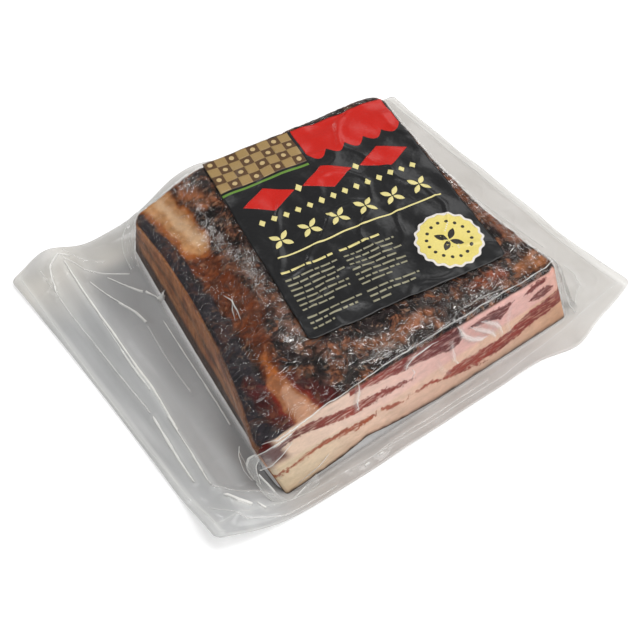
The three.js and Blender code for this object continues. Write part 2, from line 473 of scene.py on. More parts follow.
def film_material():
    """Clear film: see-through where it hugs the slab, milky where haze says so, glossy all over."""
    material, tree = new_material("clear_film")
    crinkle = attribute(tree, "crinkle")
    long_lines = wrinkle_lines(tree, *LONG_LINES)
    gathered = ranged(tree, object_noise(tree, 75, 3.0), 0.42, 0.58, 0.1, 1.0)
    gathered = times(tree, gathered, attribute(tree, "gathered"))
    steep = wrinkle_lines(tree, *STEEP_LINES)
    level = wrinkle_lines(tree, *LEVEL_LINES)
    short_lines = times(tree, maths(tree, "MAXIMUM", steep, level), gathered)
    crumples = times(tree, wrinkle_lines(tree, *CRUMPLES), gathered)
    height = summed(
        tree,
        times(tree, short_lines, WRINKLES["short"]),
        (object_noise(tree, 170, 2.0, 0.5, distortion=0.6), WRINKLES["facets"]),
        (object_noise(tree, 420, 2.0, 0.6), WRINKLES["sparkle"]),
        (crumples, WRINKLES["crumples"]),
        (long_lines, WRINKLES["long"]),
    )
    soft = bump(tree, object_noise(tree, 70, 2.0), 0.0012, 0.3)
    fine = bump(tree, times(tree, height, crinkle), WRINKLE_HEIGHT, 1.0, soft)
    threads = times(tree, maths(tree, "MAXIMUM", long_lines, short_lines), crinkle)
    milkiness = attribute(tree, "haze")
    # Milk along the threads and short lines: whitened film, and painted glints
    milkiness = summed(tree, milkiness, (threads, MILK_AND_GLINTS["threads"]), (short_lines, MILK_AND_GLINTS["short"]))
    clear = node(tree, "ShaderNodeBsdfTransparent", {"Color": (1, 1, 1, 1)}).outputs[0]
    milky = principled(tree, {
        "Base Color": attribute(tree, "tint", "Color"),
        "Roughness": 0.5,
        "Specular IOR Level": 0.1,
        "Normal": soft,
    })
    body = node(tree, "ShaderNodeMixShader", {0: milkiness, 1: clear, 2: milky}).outputs[0]
    sockets = {"Color": (1, 1, 1, 1), "Roughness": GLOSS_ROUGHNESS, "Normal": fine}
    gloss = node(tree, "ShaderNodeBsdfGlossy", sockets).outputs[0]
    facing = node(tree, "ShaderNodeLayerWeight", {"Blend": 0.5, "Normal": fine}).outputs["Facing"]
    grazing = maths(tree, "POWER", facing, GRAZING_POWER)
    mirror = summed(
        tree,
        MIRROR["square_on"],
        (grazing, MIRROR["grazing"]),
        (threads, MIRROR["threads"]),
        (gathered, MIRROR["gathers"]),
    )
    output(tree, node(tree, "ShaderNodeMixShader", {0: mirror, 1: body, 2: gloss}).outputs[0])
    return material


# Warm blotches and pale strands in the mottled crust
BLOTCH = (126, 76, 48)
STRAND = (166, 128, 100)
# What noise adds to a point's depth in a lean band, in millimetres: its reach, and its middle taken off
RAGGED = {"reach": 6.4, "middle": -3.25}


def bacon_material():
    """Cut fat and lean on the front, dried smoked crust elsewhere."""
    material, tree = new_material("bacon")
    ragged = object_noise(tree, 620, 5.0, 0.7)
    fibre = object_noise(tree, 620, 4.0, 0.65, (0.25, 1, 1.7))
    depth = maths(tree, "MULTIPLY_ADD", ragged, RAGGED["reach"], RAGGED["middle"])
    depth = maths(tree, "ADD", depth, attribute(tree, "lean"))
    is_lean = times(tree, ranged(tree, depth, -0.3, 0.4), ranged(tree, fibre, 0.5, 0.64, 1.0, 0.42))
    fat = attribute(tree, "paint", "Color")
    colour = blended(tree, is_lean, fat, attribute(tree, "lean_paint", "Color"))
    mottle = attribute(tree, "mottle")
    blotches = object_noise(tree, 95, 6.0, 0.66, distortion=0.8)
    warm = ranged(tree, blotches, 0.5, 0.62, 0.0, 0.9)
    warm = times(tree, warm, maths(tree, "POWER", mottle, 2.0))
    colour = blended(tree, warm, colour, rgba(BLOTCH))
    strands = object_noise(tree, 230, 5.0, 0.65, distortion=0.9)
    pale = times(tree, ranged(tree, strands, 0.57, 0.68, 0.0, 0.5), mottle)
    colour = blended(tree, pale, colour, rgba(STRAND))
    grain = object_noise(tree, 170, 6.0, 0.72, distortion=0.7)
    dark = ranged(tree, grain, 0.42, 0.58, 0.12, 1.25, "LINEAR")
    shade = maths(tree, "MULTIPLY_ADD", dark, mottle, maths(tree, "SUBTRACT", 1.0, mottle))
    veined = object_noise(tree, 260, 6.0, 0.75, (0.6, 1, 1.4))
    shade = times(tree, shade, ranged(tree, veined, 0.3, 0.7, 0.82, 1.12, "LINEAR"))
    output(tree, principled(tree, {
        "Base Color": shaded(tree, colour, shade),
        "Roughness": 0.5,
        "Specular IOR Level": 0.1,
        "Subsurface Weight": 0.06,
        "Subsurface Radius": (0.003, 0.0012, 0.0008),
        "Subsurface Scale": 1.0,
        "Normal": bump(tree, times(tree, grain, mottle), 0.0016, 0.6),
    }))
    return material


def print_material(name, colour, roughness=0.34):
    """Printed plastic film: nearly even ink with a soft, slightly uneven sheen."""
    material, tree = new_material(name)
    worn = ranged(tree, object_noise(tree, 1400, 2.0), 0.3, 0.7, 0.92, 1.06, "LINEAR")
    output(tree, principled(tree, {
        "Base Color": shaded(tree, rgba(colour), worn),
        "Roughness": roughness,
        "Specular IOR Level": 0.32,
        "Coat Weight": 0.12,
        "Coat Roughness": 0.15,
        "Normal": bump(tree, object_noise(tree, 150, 2.0), 0.0012, 0.35),
    }))
    return material


# The slab

# Lean bands on the cut face: x, lowest and highest height above the table
LEAN_BANDS = [
    [(-104, 26, 33), (-98, 27.6, 35), (-93, 29.6, 32.6), (-87, 31.6, 36.5), (-80, 32.5, 37.9),
     (-73, 31.2, 37.3), (-67, 29.4, 35.4), (-60, 27.3, 33.4), (-52, 25.8, 32.4), (-45, 25.4, 31.2),
     (-37, 25.3, 30.8), (-29, 25.4, 29.7), (-20, 25, 27.6), (-11, 24.8, 25.6)],
    [(-50, 38.8, 46), (-37, 37.5, 46), (-29, 36.1, 46), (-20, 34.3, 46), (-13, 33.7, 46), (-6, 33.1, 46),
     (1, 31.7, 46), (8, 30.1, 46), (12.6, 28.9, 46), (17, 29.3, 41.4), (19, 32, 38.5), (20, 33.5, 35.5)],
    [(23.5, 35.9, 36.9), (28, 34.9, 38.5), (34, 33.7, 39.1), (40, 31.6, 39.2), (45, 29.6, 38.6),
     (48, 31.5, 38), (52, 35.4, 37.7), (54, 36.9, 37.3)],
    [(61, 36.6, 37.2), (65, 35.6, 39.4), (72.6, 36.9, 40.6), (76, 38.2, 40.7)],
    [(65, 29.9, 30.9), (68, 28, 33), (73.6, 27.2, 34), (79, 28.4, 33.2), (82, 30.2, 31.2)],
    [(-98, 15.3, 16.9), (-95, 14.9, 17.3), (-85, 16.2, 18.8), (-77, 17.4, 20.3), (-70, 18, 21.1),
     (-63, 17.4, 20.6), (-56, 17.1, 20.3), (-49, 16.6, 19.6), (-42, 16.8, 19.6), (-36, 17.6, 19.2)],
    [(-33.5, 18.2, 19.4), (-31, 17, 19.4), (-26, 14.8, 18), (-20.5, 13.9, 15.7), (-17, 13.8, 14.6)],
    [(-16, 15.8, 16.2), (-10, 14.7, 16.5), (-4, 14.3, 16.6), (0, 14, 16.4), (6, 12.3, 13.9),
     (9, 11.4, 15.4), (15, 9.5, 17), (22, 9.3, 17.1), (30, 8.7, 16.7), (37, 8, 16.6), (44, 7.8, 16.4),
     (51, 8.4, 17.3), (58, 9.7, 19.7), (65, 11.6, 22.3), (73, 12.9, 23.7), (80, 13.7, 24.8), (90, 15, 26),
     (97, 15.8, 26.8)],
    [(6, 12.1, 13.9), (14, 9.8, 12), (22, 8.1, 9.9), (30, 6.3, 7.7), (37, 5, 5.6)],
]
# How far the cut face's lower edge stands off the table
FRONT_ARCH = [(-96, 1.8), (-79, 2.8), (-60, 4.1), (-53, 6.1), (-45, 8.3), (-39, 7.6), (-32, 5.4), (-20, 3.4),
              (-6, 1.6), (3, 0.6), (15, 0.3), (96, 0.3)]
ARCH_REACH = 26.0
SLAB_LINES = [0, 94, 110, 138]  # grid lines from the middle to each whole stage

# Lean colours along the cut face, above and below the long middle streak
LEAN_HIGH = [(-105, 58, 18, 12), (-85, 100, 34, 26), (-50, 138, 54, 42), (-15, 116, 42, 38), (10, 90, 28, 28),
             (50, 98, 34, 32), (80, 104, 34, 30)]
LEAN_LOW = [(-100, 150, 82, 52), (-60, 150, 78, 54), (-20, 152, 80, 60), (10, 148, 66, 54),
            (50, 130, 48, 41), (90, 118, 38, 32)]
FAT_HIGH = [(-100, 214, 188, 164), (-60, 222, 194, 176), (-20, 222, 184, 172), (20, 214, 168, 160),
            (60, 216, 170, 162), (95, 204, 152, 134)]
FAT_LOW = [(-100, 206, 186, 155), (-70, 212, 189, 162), (-45, 214, 183, 162), (0, 218, 181, 160),
           (50, 218, 180, 156), (95, 202, 154, 122)]

FACE_CRUST = (112, 56, 28)
FACE_BROWNED = (160, 108, 72)
FACE_LOWER_EDGE = (50, 32, 24)
FACE_BURNT = (74, 14, 8)
FACE_RIGHT_END = (164, 98, 54)
CRUST_DARK = (27, 17, 18)
CRUST_BROWN = (72, 44, 34)
WALL_BROWN = (160, 104, 66)
WALL_LIGHT = (190, 136, 94)
WALL_DARK = (72, 50, 40)
WALL_RED = (128, 62, 38)

# Patches of the crust seen from above: colour, how mottled, softness of the edge, and a stroke of
# x, y, half width
CRUST_PATCHES = [
    ((96, 62, 48), 1.0, 6, [(-46, 26, 3), (-46, 0, 4), (-46, -30, 4), (-50, -56, 5), (-40, -66, 5)]),
    ((96, 42, 12), 0.65, 4, [(-56, 38, 8), (-56.5, 20, 7.5), (-58, 0, 8), (-62, -20, 7.5), (-69, -40, 5),
                             (-72.5, -60, 5)]),
    ((142, 78, 32), 0.3, 3, [(-52, 90, 10), (-51.5, 62, 9.5), (-52, 46, 8.5), (-51, 37, 4)]),
    ((176, 128, 84), 0.3, 2.5, [(-51, 92, 7.5), (-51, 64, 7), (-51, 46, 6), (-50.5, 40, 3.5)]),
    ((194, 158, 122), 0.05, 4, [(-50, 84, 2.5), (-50, 62, 3), (-49.5, 47, 3)]),
    ((36, 32, 37), 0.45, 1.6, [(-65, 84, 4.5), (-65, 60, 4.5), (-68, 40, 4.5), (-70, 20, 5), (-72, 0, 5.5),
                              (-75.5, -20, 6), (-81.5, -40, 7.5), (-88, -60, 7.5), (-93, -86, 8.5)]),
    ((62, 8, 8), 0.6, 3, [(-83, -50, 2), (-84.5, -66, 4.5), (-83, -84, 4.5)]),
    ((66, 10, 8), 0.6, 4, [(-67, -62, 2.5), (-65, -74, 5), (-60, -82, 4)]),
    ((160, 88, 34), 0.4, 3, [(-70, -44, 2), (-72, -56, 2.5), (-74, -66, 3)]),
    ((112, 30, 16), 0.3, 2, [(-74, -60, 3), (-73.5, -70, 6.4), (-73, -77, 8), (-74, -90, 8)]),
    ((158, 98, 60), 0.3, 1.2, [(-74, -58, 2), (-73.5, -70, 4), (-73.5, -77, 5.5), (-74.5, -90, 6)]),
    ((180, 134, 106), 0.15, 1.6, [(-73.5, -68, 2), (-73.5, -80, 4), (-74.5, -90, 4.5)]),
    ((140, 84, 50), 0.8, 6, [(-38, 78, 4), (-34, 62, 4)]),
    ((140, 84, 52), 0.8, 6, [(-30, -68, 4), (-12, -76, 4), (8, -74, 3)]),
    ((130, 58, 30), 0.8, 5, [(40, -73, 3), (55, -77, 5)]),
    ((150, 92, 52), 0.6, 5, [(66, -78, 3), (78, -80, 5)]),
    ((110, 60, 34), 0.8, 5, [(86, 64, 4), (80, 20, 4), (79, -20, 4), (80, -62, 4)]),
]


def lean_depth(x, z):
    """How deep a point of the cut face is inside a lean band, in millimetres."""
    depth = np.full(len(x), -9.0)
    for band in LEAN_BANDS:
        low, high = along(band, x)
        inside = np.minimum(np.minimum(z - low, high - z), np.minimum(x - band[0][0], band[-1][0] - x))
        depth = np.maximum(depth, inside)
    return depth


def colour_along(stations, x):
    return linear(np.stack(along(stations, x), axis=1))


def paint_over(paint, *layers):
    """Lays colours over a paint, each by its own share."""
    for colour, share in layers:
        paint = paint + (linear(colour) - paint) * np.clip(share, 0, 1)[:, None]
    return paint


def crust_paint(points):
    """The smoked crust's colours as seen from above, and how mottled each place is."""
    broad = noise(points, 16.0, 11)
    middling = noise(points, 6.0, 12)
    paint = np.tile(linear(CRUST_DARK), (len(points), 1))
    paint = paint_over(paint, (CRUST_BROWN, smooth(middling + broad, 0.0, 0.8) * 0.8))
    mottle = np.ones(len(points))
    wander = 2.4 * broad + 1.6 * middling
    for colour, mottled, softness, path in CRUST_PATCHES:
        depth = inside_stroke(points[:, 0], points[:, 1], path) + wander
        share = smooth(depth, -softness / 2, softness / 2)
        paint = paint_over(paint, (colour, share))
        mottle = mix(mottle, mottled, share)
    return paint, mottle


def wall_paint(points):
    """The slab's long sides, and how mottled they are: brown in wavering layers, crustier at the back
    and the right, and with a painted shadow along the foot."""
    wavy = points.copy()
    wavy[:, 2] += 2.2 * noise(points, 26.0, 24) + 0.9 * noise(points, 9.0, 25)
    lengthwise = noise(wavy, np.array([38.0, 38.0, 4.2]), 21)
    fine = noise(wavy, np.array([16.0, 16.0, 2.0]), 23)
    blotch = noise(points, 13.0, 22)
    patchy = noise(points, 6.0, 26)
    z = wavy[:, 2]
    far = np.maximum(smooth(points[:, 0], 70, 84), smooth(points[:, 1], 74, 84))
    paint = paint_over(
        np.tile(linear(WALL_BROWN), (len(points), 1)),
        (WALL_LIGHT, smooth(lengthwise + 0.5 * patchy, 0.0, 0.7) * 0.7),
        (WALL_RED, smooth(blotch + 0.6 * patchy, 0.15, 0.7) * 0.45),
        (WALL_DARK, smooth(-lengthwise + 0.6 * blotch, 0.25, 0.8) * 0.4),
        (WALL_DARK, smooth(fine + 0.5 * patchy, 0.3, 0.8) * 0.4),
        (WALL_DARK, bell(z - 18.5, 1.3) * (0.65 + 0.3 * blotch)),
        (WALL_DARK, smooth(z, 27, 34) * 0.6),
        # Painted shadow along the foot of the wall, where the film flares out
        (WALL_DARK, 1 - smooth(z, 7, 11)),
        (CRUST_BROWN, far * (0.45 + 0.5 * smooth(blotch + 0.8 * patchy, -0.4, 0.5))),
    )
    return paint, mix(0.34, 0.75, far)


def cut_paint(points):
    """Fat and lean of the cut face, and where each is."""
    x, z = points[:, 0], points[:, 2]
    wander = 0.5 * noise(points, 6.0, 31) + 0.35 * noise(points, 2.2, 32)
    middle = np.interp(x, (-100, -30, 10, 90), (23, 20, 22, 26))
    is_high = smooth(z, middle - 1.5, middle + 1.5)[:, None]
    fat = mix(colour_along(FAT_LOW, x), colour_along(FAT_HIGH, x), is_high)
    lean = mix(colour_along(LEAN_LOW, x), colour_along(LEAN_HIGH, x), is_high)
    fat = fat * (1 + 0.05 * noise(points, 9.0, 33)[:, None])
    lean = lean * (1 + 0.3 * noise(points, np.array([9.0, 9.0, 1.6]), 34)[:, None])
    crusty = 1 - smooth(x + 0.25 * (z - 20), -100, -92)
    above = z - np.interp(x, *zip(*FRONT_ARCH)) + 0.6 * noise(points, 5.0, 35)
    browned = (1 - smooth(above, 1.5, 6)) * 0.27
    # A thin dark line along the cut face's lower edge
    rind = 1 - smooth(above, 0.9, 2.2)
    burnt = smooth(z, 21, 27) * (1 - smooth(x + 0.5 * (z - 34), -94, -89))
    layers = [(FACE_CRUST, crusty * smooth(z, 18, 24)), (FACE_BROWNED, browned), (FACE_LOWER_EDGE, rind),
              (FACE_BURNT, burnt)]
    right_end = (FACE_RIGHT_END, smooth(x + 0.32 * (z - 9), 91, 96) * 0.85)
    return paint_over(fat, *layers, right_end), paint_over(lean, *layers), lean_depth(x, z + wander)


def make_slab(material):
    """The bacon: a wavy slab with a craggy crust, square cut in front, standing on its rind."""
    bm, edge, stage, base = grid_over(SLAB_LINES[-1], slab_skin, SLAB_LINES)
    put(bm, base)
    normal = normals_of(bm)
    on_front = facing_front(edge) * smooth(stage, 1.3, 1.75)
    off_front = (1 - on_front) * (1 - facing_front(edge) * smooth(stage, 0.985, 1.3) * 0.6)
    craggy = relief(base) * off_front * (1 - 0.75 * smooth(stage, 1.6, 2.1))
    cut = 0.15 * noise(base, 8.0, 41) + 0.08 * noise(base, 2.5, 42)
    points = base - normal * (SKIN_GAP + craggy - cut * on_front)[:, None]
    arch = np.interp(points[:, 0], *zip(*FRONT_ARCH)) * bell(points[:, 1] + 93, ARCH_REACH)
    points[:, 2] += arch * (1 - smooth(points[:, 2], 0, 30))
    points[:, 2] = np.maximum(points[:, 2], FILM / 2)
    put(bm, points)
    paint, mottle = crust_paint(points)
    side = smooth(stage, 1.68, 1.8)[:, None]
    wall, wall_mottle = wall_paint(points)
    mottle = mix(mottle, wall_mottle, side[:, 0])
    paint = mix(paint, wall, side)
    fat, lean, depth = cut_paint(points)
    share = smooth(on_front, 0.3, 0.7)[:, None]
    paint = mix(paint, fat, share)
    depth = np.where(on_front > 0.3, depth, -9)
    rim, ring = grown_rim(bm, edges_on_rim(bm))
    for vertex in ring:
        vertex.co = Vector((vertex.co.x * 0.8, vertex.co.y * 0.8, FILM / 2))
    bmesh.ops.contextual_create(bm, geom=rim)
    bmesh.ops.recalc_face_normals(bm, faces=bm.faces)
    mottle = mix(mottle, 0, share[:, 0])
    attributes = {"paint": paint, "lean_paint": lean, "lean": depth, "mottle": mottle}
    return finished("bacon_slab", bm, material, None, attributes)


# The film

FILM_LINES = [0, 80, 94, 106, 112, 144]
# Rings of the pouch's second layer, as shares of the way from the slab's foot to the film's edge
UNDER_SHARES = [1, 0.96, 0.88, 0.78, 0.68, 0.58, 0.46, 0.34, 0.22, 0.1, 0]
UNDER_HAZE = 0.15
WRINKLE_TOP = 0.55
# Soft creases of the film over the cut face, whose milky streaks paint their glare: height, and a stroke of
# x, z, half width
FRONT_CREASES = [
    (0.8, [(-47.2, 29, 0.6), (-47, 34, 1.2), (-44.8, 42, 1.4)]),
    (0.6, [(-15, 35, 0.8), (-17, 38, 0.8), (-12, 41, 0.8), (-2, 42, 0.8)]),
    (0.8, [(18, 41, 0.9), (19, 35, 1), (24, 30, 1), (32, 25, 1)]),
    (0.8, [(28, 36, 0.9), (32, 31, 1), (38, 27, 1), (41, 22, 0.8)]),
    (0.7, [(36, 33, 0.8), (42, 28, 0.9), (45, 21, 0.8)]),
    (0.6, [(12, 35, 1), (12.5, 28, 1.2), (13, 22, 0.8)]),
    (0.5, [(3, 26, 0.8), (6, 19, 0.8), (10, 15, 0.7)]),
    (0.5, [(51, 34, 0.8), (49, 26, 0.8), (51, 18, 0.7)]),
    (0.6, [(84, 40, 0.8), (88, 30, 0.9), (91, 18, 0.8)]),
    (0.6, [(-98, 30, 0.9), (-96, 20, 0.9), (-94, 10, 0.9)]),
]
# A stroke of x, y, half width down the label's left side, below it and up its right side
GATHERS = [(-36, 82, 5), (-38, 60, 4), (-43, 40, 3), (-42, 15, 5), (-43, -20, 7), (-48, -50, 9),
           (-38, -70, 9), (-10, -78, 8), (20, -80, 6), (50, -80, 5), (80, -72, 6), (84, -20, 4), (86, 50, 4)]
FILM_SIDE = 136.5  # from the pack's middle to just past the film's left and right edges
SKIRT_RUN = 60.0  # about how far the flat film runs out, for telling how near its edge a point is
SEAL = 5.0  # the seal's inner line, in from the film's edge
# Colours of the film's milk, by place
# The left's grey is painted shade, for the slab's shadow on the flat film
TINT_LEFT = (168, 169, 169)
TINT_OUTER = (144, 145, 145)
TINT_RIGHT = (184, 179, 172)
TINT_FRONT = (158, 151, 145)
TINT_BACK = (196, 190, 180)
TINT_STREAK = (204, 204, 203)
# Whitened creases of the flat film, partly a painted highlight along them
TINT_CREASE = (236, 236, 232)
# Painted shade: the film at the cut face's foot, where it lies in the slab's shade
TINT_FOOT_SHADE = (100, 91, 84)
# Painted shadow: the slab's shadow on the flat film beside its left wall
TINT_WALL_SHADOW = (118, 118, 118)
TINT_TOP = (222, 208, 196)
TINT_WALL = (226, 220, 214)
TINT_WEB = (226, 226, 222)
# Painted highlight along the fold strips, with the whitening of creased film
TINT_FOLD_HIGHLIGHT = (240, 239, 235)
# Creases of the flat film: height, milkiness (whitened film, partly a painted highlight), and a stroke of x,
# y, half width
SKIRT_CREASES = [
    (1.3, 0.7, [(-108, 96, 0.6), (-109.5, 60, 0.7), (-112, 20, 0.8), (-113, -5, 0.8), (-116, -30, 0.7),
                (-119, -60, 0.6), (-120, -70, 0.4)]),
    (0.7, 0.5, [(-111, 50, 0.4), (-113.5, 20, 0.5), (-114.5, -5, 0.4)]),
    (0.5, 0.3, [(-121, 100, 0.4), (-121, 40, 0.4), (-121, -15, 0.6)]),
    (0.9, 0.6, [(-121, -18, 0.8), (-123, -35, 1.2), (-124.5, -50, 1.0), (-125, -62, 0.5)]),
    (1.2, 0.6, [(-121, 80, 0.4), (-119, 89, 0.9), (-116, 97, 0.8), (-108, 103, 0.9), (-103, 100, 0.5)]),
    (0.8, 0.4, [(-107, 100, 0.6), (-100, 90, 0.5), (-91, 81, 0.5), (-80, 74, 0.5)]),
    (1.0, 0.5, [(-102, 80, 0.5), (-97, 62, 0.7), (-92, 47, 0.9), (-91, 38, 1.1)]),
    (0.5, 0.25, [(-92, 36, 0.5), (-95, 15, 0.4), (-97, -15, 0.5)]),
    (0.8, 0.5, [(-92, 78, 0.5), (-86, 66, 0.6), (-81, 58, 1.1)]),
    (1.2, 0.7, [(-80, 57, 1.1), (-77, 50, 1.2), (-75, 42, 0.8)]),
    (0.7, 0.5, [(-83, 34, 0.5), (-86, 8, 0.6), (-89, -20, 0.6), (-92, -44, 0.5)]),
    (0.4, 0.3, [(-87, 90, 0.4), (-96, 96, 0.4), (-104, 106, 0.4)]),
    (0.7, 0.3, [(-120, -71, 0.6), (-113, -79, 0.7), (-104, -87, 0.7), (-99, -92, 0.5)]),
    (1.4, 0.9, [(-119, -80, 0.6), (-116, -87, 1.3), (-112, -92, 0.8)]),
    (1.0, 0.7, [(-109, -92, 0.6), (-107, -96, 0.8)]),
    (0.2, 0.45, [(-131.5, 104, 0.25), (-132.5, 40, 0.3), (-133, -30, 0.25), (-131.5, -91, 0.3)]),
    (0.2, 0.4, [(-131.5, -91, 0.3), (-80, -99.5, 0.25), (-20, -103.4, 0.3), (40, -104.6, 0.25),
                (130, -98, 0.3)]),
    (0.2, 0.4, [(130, -98, 0.3), (131.5, -30, 0.25), (131, 40, 0.3), (131, 99, 0.25)]),
    (0.4, 0.25, [(-128, -80, 0.5), (-118, -97, 0.6), (-100, -103, 0.6), (-70, -104.5, 0.5)]),
    (0.4, 0.3, [(-60, -102, 0.4), (-20, -101, 0.4), (30, -102, 0.4)]),
    # Two short milky marks that paint small glints on the front of the flat film
    (0.4, 0.6, [(-53, -103.5, 0.8), (-50, -103.3, 0.8)]),
    (0.4, 0.6, [(-43, -103, 0.6), (-41, -103, 0.6)]),
    (0.5, 0.3, [(108, 60, 0.4), (110, 20, 0.5), (113, -20, 0.5), (112, -50, 0.5), (107, -62, 0.5)]),
    (0.4, 0.2, [(112, 60, 0.4), (114, 20, 0.5), (117, -20, 0.5), (119, -52, 0.4)]),
    (0.5, 0.3, [(103, -93, 0.5), (109, -88, 0.6), (114, -86, 0.5)]),
    (0.4, 0.25, [(114, -86, 0.5), (118, -78, 0.5), (118, -70, 0.4)]),
]


def relief(points):
    """How deep the crust's pits are, in millimetres."""
    broad = 0.5 + 0.5 * noise(points, 8.0, 1)
    sharp = np.abs(noise(points, 4.0, 2))
    return np.clip(0.7 * broad + 0.6 * sharp, 0, 1.3)


def film_wrinkles(points, edge, stage):
    """The wrinkles of the film where it hugs the slab, and their milky lines, which are partly whitened film
    and partly painted glints.
    """
    in_front = facing_front(edge)
    on_top = 1 - smooth(stage, 1.2, 1.9)
    on_front = in_front * smooth(stage, 1.3, 1.7) * (1 - smooth(stage, 3.0, 3.6))
    on_wall = (1 - in_front) * smooth(stage, 1.5, 2) * (1 - smooth(stage, 3.0, 4.0))
    coarse = creases(points, 10.0, 51, 0.16)
    fine = creases(points, 5.5, 61, 0.2)
    under_label = label_cover(points[:, 0], points[:, 1]) * (1 - smooth(stage, 1.0, 1.6))
    height = (WRINKLE_TOP * coarse + 0.3 * fine) * on_top * (1 - 0.85 * under_label)
    height = height + 0.35 * creases(points, 22.0, 71, 0.08) * on_wall
    # Milky lines on the wrinkle crests: whitened film, and painted glints along them
    lines = 0.045 * np.maximum(coarse**4, 0.7 * fine**4) * on_top
    for lift, path in FRONT_CREASES:
        depth = smooth(inside_stroke(points[:, 0], points[:, 2], path), -1.3, 0.5) * on_front
        height = height + lift * depth
        # Milky streaks along the front creases paint their glare
        lines = np.maximum(lines, 0.34 * lift * depth)
    height = height + 0.25 * creases(points, 18.0, 81, 0.1) * on_front
    return height, lines


def skirt_folds(points, stage):
    """Creases and the pressed seal of the flat film, and how milky they are."""
    on_skirt = smooth(stage, 3.6, 4.15)
    share = np.clip(stage - 4, 0, 1)
    x, y = points[:, 0], points[:, 1]
    to_edge = np.minimum(FILM_SIDE - np.abs(x), (1 - share) * SKIRT_RUN + 2)
    seal_line = bell(to_edge - SEAL, 0.6) * smooth(share, 0.3, 0.6)
    height = 0.25 * (1 + noise(points, 17.0, 92)) + 0.12 * creases(points, 30.0, 91, 0.08)
    milky = 0.2 * smooth(SEAL - to_edge, 0, 0.5) + 0.35 * seal_line
    for lift, haze, path in SKIRT_CREASES:
        depth = smooth(inside_stroke(x, y, path), -3.0, 0.6)
        height = height + 0.6 * lift * depth
        milky = np.maximum(milky, 0.25 * haze * depth)
    return (height + 0.3 * seal_line) * on_skirt, milky * on_skirt


def film_haze(points, stage, lines, milky):
    """How milky the film is: 0 clear, 1 opaque."""
    in_front = (points[:, 1] < -88) & (np.abs(points[:, 0]) < 96)
    on_skirt = np.where(in_front, smooth(stage, 3.42, 3.72), smooth(stage, 3.1, 3.85))
    cloud = 0.5 + 0.5 * noise(points, np.array([14.0, 40.0, 20.0]), 95)
    # More milk on the left, so more of the grey painted shade shows there
    left = 1 - smooth(points[:, 0], -80, 60)
    flat = mix(0.48, 0.6, left) + 0.2 * cloud
    flat = flat + (1 - flat) * milky * 0.6
    smear = smooth(noise(points, 13.0, 96), 0.1, 0.7)
    # The wrinkles' milky lines add painted glints to the hugging film
    hugging = 0.002 + 0.012 * smear * (1 - smooth(stage, 1.2, 1.9)) + lines
    return np.clip(mix(hugging, flat, on_skirt), 0, 0.95)


def gathers(points):
    """Where the shrunk film is puckered into many small folds: 0 smooth, 1 puckered."""
    depth = inside_stroke(points[:, 0], points[:, 1], GATHERS) + 5 * noise(points, 14.0, 98)
    return 0.05 + 0.95 * smooth(depth, -3, 3)


def film_tint(points, stage, milky):
    """Grey on the left, a painted shade where the slab's shadow falls, and pale on the right."""
    x, y = points[:, 0], points[:, 1]
    warm = smooth(x + 0.3 * y, -80, 40)
    tint = mix(linear(TINT_LEFT), linear(TINT_RIGHT), warm[:, None])
    outer = np.maximum(smooth(-x, 112, 124), smooth(y, -10, 50)) * (1 - warm) * smooth(y, -80, -30)
    streaky = smooth(noise(points, np.array([9.0, 60.0, 20.0]), 99), 0.0, 0.7) * (1 - warm)
    front = smooth(-y, 84, 92)
    # Painted shadow of the slab on the flat film beside its left wall
    wall_shadow = smooth(x, -110, -96) * (1 - smooth(x, -76, -66)) * (1 - smooth(np.abs(y), 78, 92))
    below_top = smooth(stage, 1.1, 1.6)
    return paint_over(
        tint,
        (TINT_OUTER, 0.8 * outer),
        (TINT_STREAK, 0.35 * streaky),
        (TINT_FRONT, front * smooth(x, -112, -80) * (1 - smooth(x, 50, 100))),
        (TINT_BACK, smooth(y, 55, 95) * (1 - warm) * (0.6 + 0.4 * noise(points, 20.0, 97))),
        (TINT_CREASE, milky * smooth(stage, 3.6, 4.0)),
        # Painted shade on the film at the foot of the cut face
        (TINT_FOOT_SHADE, 0.85 * front * bell(stage - 3.52, 0.16)),
        (TINT_WALL_SHADOW, 0.85 * wall_shadow),
        (TINT_TOP, 1 - below_top),
        (TINT_WALL, below_top * (1 - smooth(stage, 2.5, 3.0))),
    )


def even_film(milky, colour, crinkle):
    """The attributes of a web or a fold: its own milkiness, one colour, evenly crinkled and not gathered."""
    count = len(milky)
    return {
        "haze": milky,
        "tint": np.tile(linear(colour), (count, 1)),
        "crinkle": np.full(count, crinkle),
        "gathered": np.zeros(count),
    }


def way_layer(bm, edge):
    """Remembers each vertex's direction from the middle, which new rings inherit."""
    way = bm.verts.layers.float_vector.new("way")
    for vertex, direction in zip(bm.verts, edge):
        vertex[way] = (direction[0], direction[1], 0)
    return way


def close_underside(bm, way):
    """The pouch's second layer, a film's thickness under the first, and its flat sole."""
    rim = edges_on_rim(bm)
    for share in UNDER_SHARES:
        rim, ring = grown_rim(bm, rim)
        edge = np.array([vertex[way][:2] for vertex in ring])
        stage = np.full(len(ring), 4.0 + share)
        points = pouch_skin(edge[:, 0], edge[:, 1], stage)
        points[:, 2] += skirt_folds(points, stage)[0] - FILM
        for vertex, point in zip(ring, points):
            vertex.co = (point[0], point[1], max(0, point[2]))
    bmesh.ops.contextual_create(bm, geom=rim)


